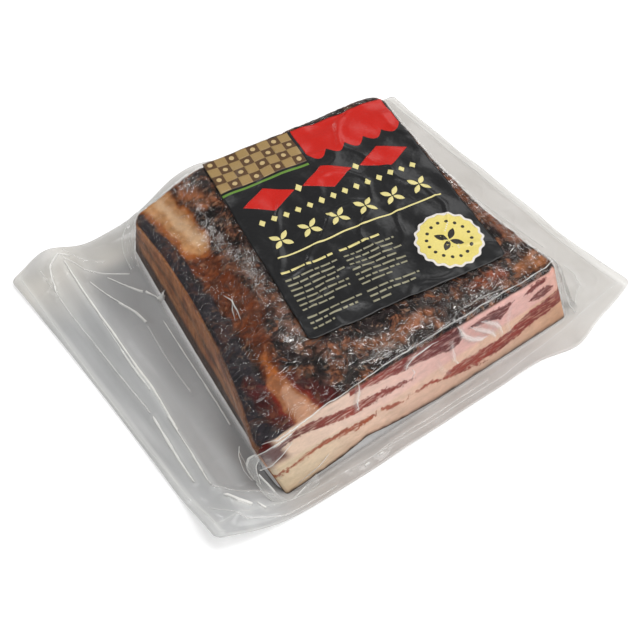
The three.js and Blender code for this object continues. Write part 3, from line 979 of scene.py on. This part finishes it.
def make_film(material):
    """The clear pouch: tight over the slab, flat and folded round it, and closed underneath."""
    bm, edge, stage, base = grid_over(FILM_LINES[-1], pouch_skin, FILM_LINES)
    put(bm, base)
    normal = normals_of(bm)
    flat = smooth(stage, 3.4, 4.0)[:, None]
    out = mix(normal, np.array([0.0, 0.0, 1.0]), flat)
    out = out / np.linalg.norm(out, axis=1)[:, None]
    wrinkle, lines = film_wrinkles(base, edge, stage)
    fold, milky = skirt_folds(base, stage)
    snug = 0.6 * relief(base) * (1 - smooth(stage, 1.2, 1.6))
    points = base + out * (wrinkle - snug + fold)[:, None]
    put(bm, points)
    haze = film_haze(base, stage, lines, milky)
    tint = film_tint(base, stage, milky)
    off_face = 1 - facing_front(edge) * smooth(stage, 1.2, 1.6)
    gathered = gathers(base) * (1 - smooth(stage, 1.1, 1.6)) * off_face
    crinkle = (0.35 + 0.65 * gathered) * (1 - smooth(stage, 1.3, 2.2)) * off_face
    crinkle = np.clip(crinkle + 0.03, 0, 1)
    close_underside(bm, way_layer(bm, edge))
    bmesh.ops.recalc_face_normals(bm, faces=bm.faces)
    under = len(bm.verts) - len(haze)
    haze = np.concatenate([haze, np.full(under, UNDER_HAZE)])
    attributes = {"haze": haze, "tint": tint, "crinkle": crinkle, "gathered": gathered}
    return finished("film_pouch", bm, material, "sealed_bag", attributes)


WEB_THICK = 0.3
WEB_STEPS = (24, 8)  # along a web's lines, and across from the first to the last
WEB_SWAY = (0.25, -0.4, 0.15)
# The webs' milky rims are painted highlights along their edges
WEB_RIM_HIGHLIGHT = 0.6
WEB_RIM_POWER = 10  # the higher, the narrower the milky rim


def make_web(name, lines, haze, material):
    """A thin web of film stretched over two or more lines, with a milky painted highlight along each."""
    bm, flat = flat_grid(*WEB_STEPS)
    along_web, across_web = (flat[:, 0] + 1) / 2, (flat[:, 1] + 1) / 2
    sides = []
    for line in lines:
        line = np.array(line, dtype=float)
        marks = np.linspace(0, 1, len(line))
        sides.append(np.stack([np.interp(along_web, marks, line[:, k]) for k in range(3)], axis=1))
    sides = np.array(sides)
    at = across_web * (len(lines) - 1)
    low = np.minimum(at.astype(int), len(lines) - 2)
    each = np.arange(len(flat))
    points = mix(sides[low, each], sides[low + 1, each], (at - low)[:, None])
    points = points + noise(points, 5.0, 301)[:, None] * np.array(WEB_SWAY)
    points[:, 2] = np.maximum(points[:, 2], FILM + WEB_THICK)
    put(bm, points)
    for _ in range(3):
        bmesh.ops.smooth_vert(
            bm, verts=bm.verts, factor=0.5, use_axis_x=True, use_axis_y=True, use_axis_z=True
        )
    bmesh.ops.solidify(bm, geom=bm.faces[:], thickness=WEB_THICK)
    bmesh.ops.recalc_face_normals(bm, faces=bm.faces)
    to_line = np.min([np.abs(across_web - k / (len(lines) - 1)) for k in range(len(lines))], axis=0)
    # Painted highlight: a milky rim along each of the web's lines
    rim = (1 - 2 * to_line) ** WEB_RIM_POWER
    milky = np.tile(haze + WEB_RIM_HIGHLIGHT * rim, 2)[: len(bm.verts)]
    return finished(name, bm, material, None, even_film(milky, TINT_WEB, 0.08))


# Webs of film that stand at the slab's corners: lines of x, y, z
WEBS = {
    "web_front_left_top": (
        [(-84, -87, 40.5), (-91, -87.5, 40), (-98, -86, 37.5), (-103, -83, 33)],
        [(-86, -90, 37), (-92, -91, 33), (-98, -90.5, 28), (-103.5, -87, 24)],
    ),
    "web_front_left_knot": (
        [(-102, -83, 34), (-105.5, -80, 30), (-106.5, -80, 24), (-106, -83, 18), (-104, -86, 14)],
        [(-102, -86, 33), (-104, -86.5, 29), (-104.5, -87, 24), (-104.2, -88, 19), (-103.5, -88, 14)],
    ),
    "web_front_left_down": (
        [(-104, -87, 25), (-100.5, -91.5, 16), (-97.5, -95, 7), (-93, -97.5, 1)],
        [(-105.5, -86.5, 16), (-104, -90.5, 9), (-101.5, -94.5, 4), (-99, -98, 1)],
    ),
    "web_left_wall": (
        [(-104.5, -73, 31), (-107, -76, 27), (-107.5, -80, 20), (-105.5, -84, 14)],
        [(-104, -71, 24), (-103.5, -75, 18), (-103.5, -79, 14), (-104, -83, 12)],
    ),
    "web_front_tie": (
        [(-93, -97, 1.5), (-87, -96.6, 3.6), (-81, -95.8, 5.6), (-76, -95, 7.4)],
        [(-92, -99, 1), (-87, -98.8, 1), (-81, -98.4, 1), (-76, -98.2, 1)],
    ),
    "web_front_right": (
        [(87, -71, 38.2), (88.5, -71, 32), (90.3, -71, 26), (92.8, -70, 18), (95.8, -69, 9),
         (101, -66, 1.5)],
        [(89.4, -83, 38.6), (93.4, -85, 33), (95.8, -87, 26), (98, -90, 18), (100.5, -93, 9),
         (104.5, -96, 1.5)],
        [(86, -89, 38.6), (87.6, -91.4, 33), (89, -92.6, 26), (91, -94, 18), (94, -95.4, 9),
         (98, -98, 1.5)],
    ),
    "web_back_left": (
        [(-62, 89, 29), (-68, 91, 24), (-74.5, 89.5, 16), (-77.5, 85, 9), (-79, 75, 2)],
        [(-64, 86, 27), (-67.5, 87, 22), (-70, 85, 15), (-71.5, 81, 9), (-74, 72, 4)],
    ),
}

# How milky the webs at the knot are; the others are nearly clear
WEB_HAZE = {"web_front_left_knot": 0.17, "web_front_left_down": 0.15, "web_front_tie": 0.12}
CLEAR_WEB_HAZE = 0.02

# Folds of the film as thin strips laid on it, whose milkiness paints their highlights: height, milkiness,
# and a stroke of x, z and half width in front, or of x, y and half width on the brow
FRONT_FOLDS = [
    (0.3, 0.3, [(16.5, 42.5, 0.4), (18, 38, 1.6), (20.5, 34, 2.3), (25, 29.5, 2), (31, 26, 1.2),
                (36, 24.5, 0.3)]),
    (0.3, 0.28, [(24, 38, 0.4), (28.5, 34, 1.7), (34, 29.5, 2.2), (38, 26, 1.4), (41, 21, 0.3)]),
    (0.3, 0.24, [(31, 37.5, 0.4), (36, 34, 1.8), (41, 30, 2.2), (44, 26, 1.3), (46, 20, 0.3)]),
    (0.3, 0.2, [(12.2, 34, 0.4), (12.8, 28, 1.2), (13.6, 22, 1.2), (16, 18, 0.4)]),
    (0.3, 0.4, [(-44.4, 43, 0.3), (-45.6, 39, 0.9), (-47, 33, 1.0), (-46.8, 28, 0.3)]),
    (0.3, 0.5, [(-46.4, 16, 0.3), (-46.2, 14, 0.9), (-46.4, 12, 0.3)]),
    (0.2, 0.5, [(-17, 34.5, 0.2), (-16.5, 38, 0.5), (-12, 40.8, 0.6), (-3, 41.6, 0.5), (4, 41, 0.2)]),
    (0.2, 0.35, [(-14, 27, 0.2), (-11.5, 29.5, 0.6), (-13, 33, 0.2)]),
    (0.2, 0.4, [(-86, 5.5, 0.3), (-77, 7, 0.7), (-71, 9.5, 0.7), (-67, 12, 0.3)]),
]
BROW_FOLDS = [
    (0.25, 0.6, [(-98, -83, 0.12), (-92, -86, 0.2), (-77, -85.9, 0.24), (-50, -85.4, 0.18),
                 (-20, -84.9, 0.28), (4, -85.2, 0.2), (30, -85.2, 0.26), (60, -86, 0.2), (78, -86.3, 0.3),
                 (86, -84, 0.3), (89, -79, 0.12)]),
    (0.25, 0.4, [(16, -84, 0.12), (24, -81, 0.3), (38, -81.5, 0.3), (50, -84, 0.12)]),
    (0.25, 0.5, [(-61, 4, 0.15), (-60, -2, 0.5), (-62, -10, 0.35), (-64, -16, 0.2)]),
    (0.2, 0.4, [(-58, 0, 0.15), (-63, -7, 0.3), (-66, -14, 0.15)]),
]
STRIP_STEP = 1.2
STRIP_THICK = 0.15
STRIP_GAP = 0.05  # from the film to a strip's edges


def film_tree(film):
    """The film's outside, for dropping points on it."""
    return BVHTree.FromPolygons([v.co / MM - Vector(FRAME_SHIFT) for v in film.data.vertices],
                                [p.vertices for p in film.data.polygons if len(p.vertices) == 4])


def dropped(tree, u, v, in_front):
    """The place on the film under x and y, or behind x and z, and the way out of it."""
    start, way = Vector((u, v, 100)), Vector((0, 0, -1))
    if in_front:
        start, way = Vector((u, -200, v)), Vector((0, 1, 0))
    place, out = tree.ray_cast(start, way)[:2]
    if place is None:
        return start, -way
    return place, out if out.dot(way) < 0 else -out


def add_strip(bm, tree, lift, path, in_front):
    """A thin closed strip along a stroke, arched across its width. Gives how far each vertex is from its
    middle line, from 0 to 1."""
    path = np.array(path, dtype=float)
    marks = np.concatenate([[0], np.cumsum(np.hypot(*np.diff(path[:, :2], axis=0).T))])
    count = max(4, int(marks[-1] / STRIP_STEP))
    made, flat = flat_grid(count, 4)
    at = (flat[:, 0] + 1) / 2 * marks[-1]
    u, v, half = [np.interp(at, marks, path[:, k]) for k in range(3)]
    ahead = np.clip(at + STRIP_STEP, 0, marks[-1])
    behind = np.clip(at - STRIP_STEP, 0, marks[-1])
    du = np.interp(ahead, marks, path[:, 0]) - np.interp(behind, marks, path[:, 0])
    dv = np.interp(ahead, marks, path[:, 1]) - np.interp(behind, marks, path[:, 1])
    long = np.maximum(np.hypot(du, dv), 1e-6)
    middle = np.stack([u, v, np.zeros(len(u))], axis=1)
    sway = 0.15 * noise(middle, 9.0, 401)
    half = half * (0.85 + 0.5 * noise(middle, 5.0, 402))
    side = sway + flat[:, 1] * np.maximum(half, 0.12)
    u, v = u - side * dv / long, v + side * du / long
    for vertex, a, b, share in zip(made.verts, u, v, np.abs(flat[:, 1])):
        place, out = dropped(tree, a, b, in_front)
        vertex.co = place + out * (STRIP_GAP + lift * (1 - share * share))
    bmesh.ops.solidify(made, geom=made.faces[:], thickness=STRIP_THICK)
    mesh = bpy.data.meshes.new("strip")
    made.to_mesh(mesh)
    made.free()
    bm.from_mesh(mesh)
    bpy.data.meshes.remove(mesh)
    return np.tile(np.abs(flat[:, 1]), 2)


def make_folds(name, film, folds, in_front, softness, material):
    tree = film_tree(film)
    bm = bmesh.new()
    milky = []
    for lift, haze, path in folds:
        share = add_strip(bm, tree, lift, path, in_front)
        # Milky along each strip's middle, a painted highlight of the fold
        milky.append(haze * (1 - share * share) ** softness)
    bmesh.ops.recalc_face_normals(bm, faces=bm.faces)
    attributes = even_film(np.concatenate(milky), TINT_FOLD_HIGHLIGHT, 0.1)
    return finished(name, bm, material, None, attributes)


# The label

GRID = 1.5
INK_CUT = 1.0
INK_THICK = 0.2
INK_STEP = 0.06  # how much higher each layer of ink lies


def label_cover(x, y):
    """1 under the label, 0 away from it."""
    u, v = label_flat(x, y)
    gap = np.maximum(np.abs(u) - LABEL["width"] / 2, np.abs(v) - LABEL["length"] / 2)
    return 1 - smooth(gap, -1.5, 1.0)


def label_axes():
    turn, lean = math.radians(LABEL["turn"]), math.radians(LABEL["lean"])
    return np.array([[math.cos(turn), math.sin(turn)], [-math.sin(lean), math.cos(lean)]])


def label_flat(x, y):
    """Where a place on the pack is on the flat label, in millimetres from its middle."""
    flat = np.linalg.solve(label_axes().T, np.stack([x - LABEL["x"], y - LABEL["y"]]))
    return flat[0], flat[1]


def film_heights(film):
    """A function of x and y for the film's height under the label, with its hollows bridged."""
    tree = film_tree(film)
    xs = np.arange(-62.0, 108.0, GRID)
    ys = np.arange(-84.0, 98.0, GRID)
    field = np.zeros((len(ys), len(xs)))
    for row, y in enumerate(ys):
        for column, x in enumerate(xs):
            hit = tree.ray_cast(Vector((x, y, 100)), Vector((0, 0, -1)))[0]
            field[row, column] = hit.z if hit else 0
    shifts = [(0, 0), (1, 0), (-1, 0), (0, 1), (0, -1)]
    field = np.max([np.roll(field, shift, (0, 1)) for shift in shifts], axis=0)
    for _ in range(2):
        field = np.mean([np.roll(field, shift, (0, 1)) for shift in shifts], axis=0)

    def height(x, y):
        column = np.clip((x - xs[0]) / GRID, 0, len(xs) - 1.001)
        row = np.clip((y - ys[0]) / GRID, 0, len(ys) - 1.001)
        c, r = column.astype(int), row.astype(int)
        fc, fr = column - c, row - r
        low = mix(field[r, c], field[r, c + 1], fc)
        high = mix(field[r + 1, c], field[r + 1, c + 1], fc)
        return mix(low, high, fr)

    return height


def on_label(points, height):
    """Bends flat artwork over the label: u and v in millimetres from its middle, w above its face."""
    u, v, w = points[:, 0], points[:, 1], points[:, 2]
    across, up = label_axes()
    x = LABEL["x"] + u * across[0] + v * up[0]
    y = LABEL["y"] + u * across[1] + v * up[1]
    flat = np.stack([x, y, np.zeros(len(x))], axis=1)
    pucker = 0.55 * creases(flat, 30.0, 201, 0.18) + 0.5 * noise(flat, 15.0, 202)
    return np.stack([x, y, height(x, y) + LABEL_LIFT + pucker + w], axis=1)


def make_label_sheet(height, material):
    bm, flat = flat_grid(round(LABEL["width"]), round(LABEL["length"]))
    a, b = rounded_square(flat[:, 0], flat[:, 1], LABEL_ROUND)
    points = np.stack([a * LABEL["width"] / 2, b * LABEL["length"] / 2, 0 * a], axis=1)
    put(bm, points)
    bmesh.ops.solidify(bm, geom=bm.faces[:], thickness=LABEL_THICK)
    flat = places(bm)
    flat[:, 2] -= flat[:, 2].max()
    put(bm, on_label(flat, height))
    bmesh.ops.recalc_face_normals(bm, faces=bm.faces)
    return finished("label_sheet", bm, material, "label")


def make_ink(name, outlines, layer, height, material):
    """Flat printed shapes, cut up finely enough to bend over the label, as thin closed layers."""
    bm = bmesh.new()
    for outline in outlines:
        bm.faces.new([bm.verts.new((u, v, 0)) for u, v in outline])
    bmesh.ops.triangulate(bm, faces=bm.faces[:])
    for axis, reach in ((0, LABEL["width"] / 2), (1, LABEL["length"] / 2)):
        for at in np.arange(-reach, reach, INK_CUT):
            way = Vector((axis == 0, axis == 1, 0))
            geometry = bm.verts[:] + bm.edges[:] + bm.faces[:]
            bmesh.ops.bisect_plane(bm, geom=geometry, dist=1e-4, plane_co=way * at, plane_no=way)
    for face in bm.faces:
        if face.normal.z < 0:
            face.normal_flip()
    bmesh.ops.solidify(bm, geom=bm.faces[:], thickness=INK_THICK)
    flat = places(bm)
    flat[:, 2] += layer * INK_STEP - flat[:, 2].max()
    put(bm, on_label(flat, height))
    bmesh.ops.recalc_face_normals(bm, faces=bm.faces)
    return finished(name, bm, material)


def disc(u, v, radius, count, lobes=0, deep=0.0):
    """The outline of a round field, whose rim waves in and out by deep, once for each lobe."""
    points = []
    for k in range(count):
        angle = 2 * math.pi * k / count
        reach = radius + deep * math.cos(lobes * angle)
        points.append((u + reach * math.cos(angle), v + reach * math.sin(angle)))
    return points


def leaf(u, v, long, short, turn):
    """The outline of a leaf, pointed at both ends."""
    across, up = math.cos(math.radians(turn)), math.sin(math.radians(turn))
    points = []
    for side in (1, -1):
        for k in range(12):
            p = side * long * (1 - 2 * k / 12)
            q = side * short * (1 - (p / long) ** 2)
            points.append((u + p * across - q * up, v + p * up + q * across))
    return points


def bar(u, v, width, height):
    return [(u, v), (u + width, v), (u + width, v + height), (u, v + height)]


def word_rows(rows, height, seed):
    """Rows of plain bars, broken like words. A row is its start, its height on the label and its length."""
    draw = np.random.default_rng(seed)
    shapes = []
    for start, base, length in rows:
        u = start
        while u < start + length:
            width = min(draw.uniform(2.0, 8.0), start + length - u)
            if width > 0.8:
                shapes.append(bar(u, base, width, height))
            u += width + 0.9
    return shapes


def lozenge(u, v, wide, tall):
    return [(u + wide, v), (u, v + tall), (u - wide, v), (u, v - tall)]


def lozenge_row(middle, v, wide, tall, step, count):
    return [lozenge(middle + step * (k - (count - 1) / 2), v, wide, tall) for k in range(count)]


def flower(u, v, petal):
    """Four leaves round a point."""
    shapes = []
    for turn in (45, 135, 225, 315):
        angle = math.radians(turn)
        shapes.append(leaf(u + 0.56 * petal * math.cos(angle), v + 0.56 * petal * math.sin(angle),
                           petal / 2, petal / 4.5, turn))
    return shapes


def checks(left, base, size, columns, rows):
    """Every other square of a checked field."""
    shapes = []
    for column, row in itertools.product(range(columns), range(rows)):
        if (column + row) % 2 == 0:
            shapes.append(bar(left + size * column, base + size * row, size, size))
    return shapes


def scalloped(left, right, top, base, deep, count):
    """A field whose lower edge hangs in a row of round scallops."""
    points = [(left, top), (right, top)]
    steps = count * 8
    for k in range(steps + 1):
        share = k / steps
        points.append((mix(right, left, share), base - deep * abs(math.sin(math.pi * count * share))))
    return points


def seal(radius):
    return [disc(*SEAL_AT, radius, 6 * SEAL_LOBES, SEAL_LOBES, 0.6)]


# The artwork, in millimetres from the label's middle
CHECK = 6.65
CHECKS_AT = (-57.8, 42.7)
PANEL = [[(-57.8, 69.3), (-4.6, 69.3), (-4.6, 42.7), (-57.8, 42.7)]]
CHECK_DOTS = [disc(CHECKS_AT[0] + CHECK * (c + 0.5), CHECKS_AT[1] + CHECK * (r + 0.5), 1.5, 16)
              for c in range(8) for r in range(4) if (c + r) % 2]
RED_PANEL = [scalloped(-2.6, 57.8, 69.3, 46.5, 5.5, 5)]
SMALL_LOZENGES = lozenge_row(0, 26, 2.2, 2.8, 36, 2) + lozenge_row(0, 11.5, 2.0, 2.6, 7.2, 14)
FLOWERS = [shape for k in range(6) for shape in flower(-42.5 + 17 * k, -3.5, 6.8)]
SEAL_AT = (36.5, -46)
SEAL_LOBES = 18
DOT_TURNS = [k * math.pi / 8 for k in range(16)]
SEAL_DOTS = [disc(SEAL_AT[0] + 12.2 * math.cos(turn), SEAL_AT[1] + 12.2 * math.sin(turn), 1.0, 12)
             for turn in DOT_TURNS]
COLUMNS = (-53, -19)
HEADING_ROWS = [(COLUMNS[0], -26, 30), (COLUMNS[1], -26, 24)]
FINE_LINES = [(-31, 30), (-34.4, 28), (-37.8, 31), (-41.2, 26), (-44.6, 30), (-48, 29), (-51.4, 18),
              (-57, 31), (-60.4, 27), (-63.8, 12)]
FINE_ROWS = [(start, base, length) for base, length in FINE_LINES for start in COLUMNS]
BLACK = (24, 24, 25)
INKS = {
    "cream": (214, 202, 136),
    "white": (214, 208, 202),
    "red": (184, 24, 12),
    "dark": (40, 36, 30),
    "fine_print": (140, 136, 112),
    "brown": (86, 62, 40),
    "tan": (150, 124, 80),
    "pale_tan": (186, 162, 116),
    "green": (96, 132, 52),
    "yellow": (214, 198, 112),
}
# What is printed where: the piece's name, its outlines, its layer and its ink
PRINTS = [
    ("label_brown_panel", PANEL, 1, "brown"),
    ("label_checks", checks(*CHECKS_AT, CHECK, 8, 4), 2, "tan"),
    ("label_check_dots", CHECK_DOTS, 2, "pale_tan"),
    ("label_green_rule", [bar(-57.8, 39.4, 53.2, 1.7)], 1, "green"),
    ("label_red_panel", RED_PANEL, 1, "red"),
    ("label_red_lozenges", lozenge_row(0, 26, 15.5, 9, 36, 3), 1, "red"),
    ("label_small_lozenges", SMALL_LOZENGES, 2, "cream"),
    ("label_flowers", FLOWERS, 1, "cream"),
    ("label_rule", [bar(-50, -15.4, 100, 1.0)], 1, "cream"),
    ("label_headings", word_rows(HEADING_ROWS, 1.5, 1), 1, "cream"),
    ("label_fine_print", word_rows(FINE_ROWS, 1.1, 2), 1, "fine_print"),
    ("label_seal_rim", seal(18.6), 1, "white"),
    ("label_seal", seal(17.2), 2, "yellow"),
    ("label_seal_dots", SEAL_DOTS, 3, "dark"),
    ("label_seal_flower", flower(*SEAL_AT, 8.0), 3, "dark"),
]


def make_label(film):
    height = film_heights(film)
    make_label_sheet(height, print_material("label_black", BLACK, 0.3))
    inks = {name: print_material("label_" + name, colour) for name, colour in INKS.items()}
    for name, outlines, layer, ink in PRINTS:
        make_ink(name, outlines, layer, height, inks[ink])


# Floor, light and camera

CAMERA_PLACE = (-0.2410, -0.3128, 0.4636)
CAMERA_PITCH = 50.99  # degrees below the horizon
CAMERA_HEADING = -37.16
LENS = 61.53
SENSOR = 36.0

# Softboxes, in metres: name, place, size and power in watts
LIGHTS = [
    ("key", (0.75, -0.75, 1.0), (0.9, 0.9), 12),
    ("overhead", (0.1, -0.1, 1.5), (0.7, 0.7), 11),
    ("back_right", (0.95, 0.6, 0.8), (0.5, 0.5), 1.5),
    ("left_fill", (-1.2, -0.3, 0.7), (0.3, 0.9), 3),
    ("strip_back", (0.15, 1.3, 0.75), (0.6, 0.07), 1.6),
    ("strip_left", (-0.8, 0.45, 1.0), (0.07, 0.6), 1.0),
]
LIGHT_TARGET = (0, 0, 0.02)
WORLD_STRENGTH = 0.24
FLOOR_HALF = 12
FLOOR_GREY = (0.85, 0.85, 0.85, 1)
FLOOR_GLOW = 0.22


def make_floor():
    bm = bmesh.new()
    bmesh.ops.create_grid(bm, x_segments=1, y_segments=1, size=FLOOR_HALF)
    mesh = bpy.data.meshes.new("floor")
    bm.to_mesh(mesh)
    bm.free()
    floor = linked("floor", mesh)
    material, tree = new_material("floor_white")
    output(tree, principled(tree, {
        "Base Color": FLOOR_GREY,
        "Roughness": 0.7,
        "Emission Color": (1, 1, 1, 1),
        "Emission Strength": FLOOR_GLOW,
    }))
    mesh.materials.append(material)


def softbox(name, place, size, power):
    light = bpy.data.lights.new(name, "AREA")
    light.shape = "RECTANGLE"
    light.size, light.size_y = size
    light.energy = power
    lamp = linked(name, light)
    lamp.location = place
    lamp.rotation_euler = (Vector(LIGHT_TARGET) - Vector(place)).to_track_quat("-Z", "Y").to_euler()


def light_and_camera():
    for light in LIGHTS:
        softbox(*light)
    world = bpy.data.worlds.new("studio")
    world.use_nodes = True
    background = world.node_tree.nodes["Background"]
    background.inputs["Color"].default_value = (1, 1, 1, 1)
    background.inputs["Strength"].default_value = WORLD_STRENGTH
    bpy.context.scene.world = world
    lens = bpy.data.cameras.new("camera")
    lens.lens = LENS
    lens.sensor_width = SENSOR
    camera = linked("camera", lens)
    camera.location = CAMERA_PLACE
    camera.rotation_euler = (math.radians(90 - CAMERA_PITCH), 0, math.radians(CAMERA_HEADING))
    bpy.context.scene.camera = camera
    bpy.context.scene.view_settings.view_transform = "Standard"


make_slab(bacon_material())
film_look = film_material()
film = make_film(film_look)
for name, lines in WEBS.items():
    make_web(name, lines, WEB_HAZE.get(name, CLEAR_WEB_HAZE), film_look)
make_folds("film_folds_skirt", film, SKIRT_CREASES, False, 1, film_look)
make_folds("film_folds_brow", film, BROW_FOLDS, False, 1, film_look)
make_folds("film_folds_front", film, FRONT_FOLDS, True, 1.4, film_look)
make_label(film)
make_floor()
light_and_camera()
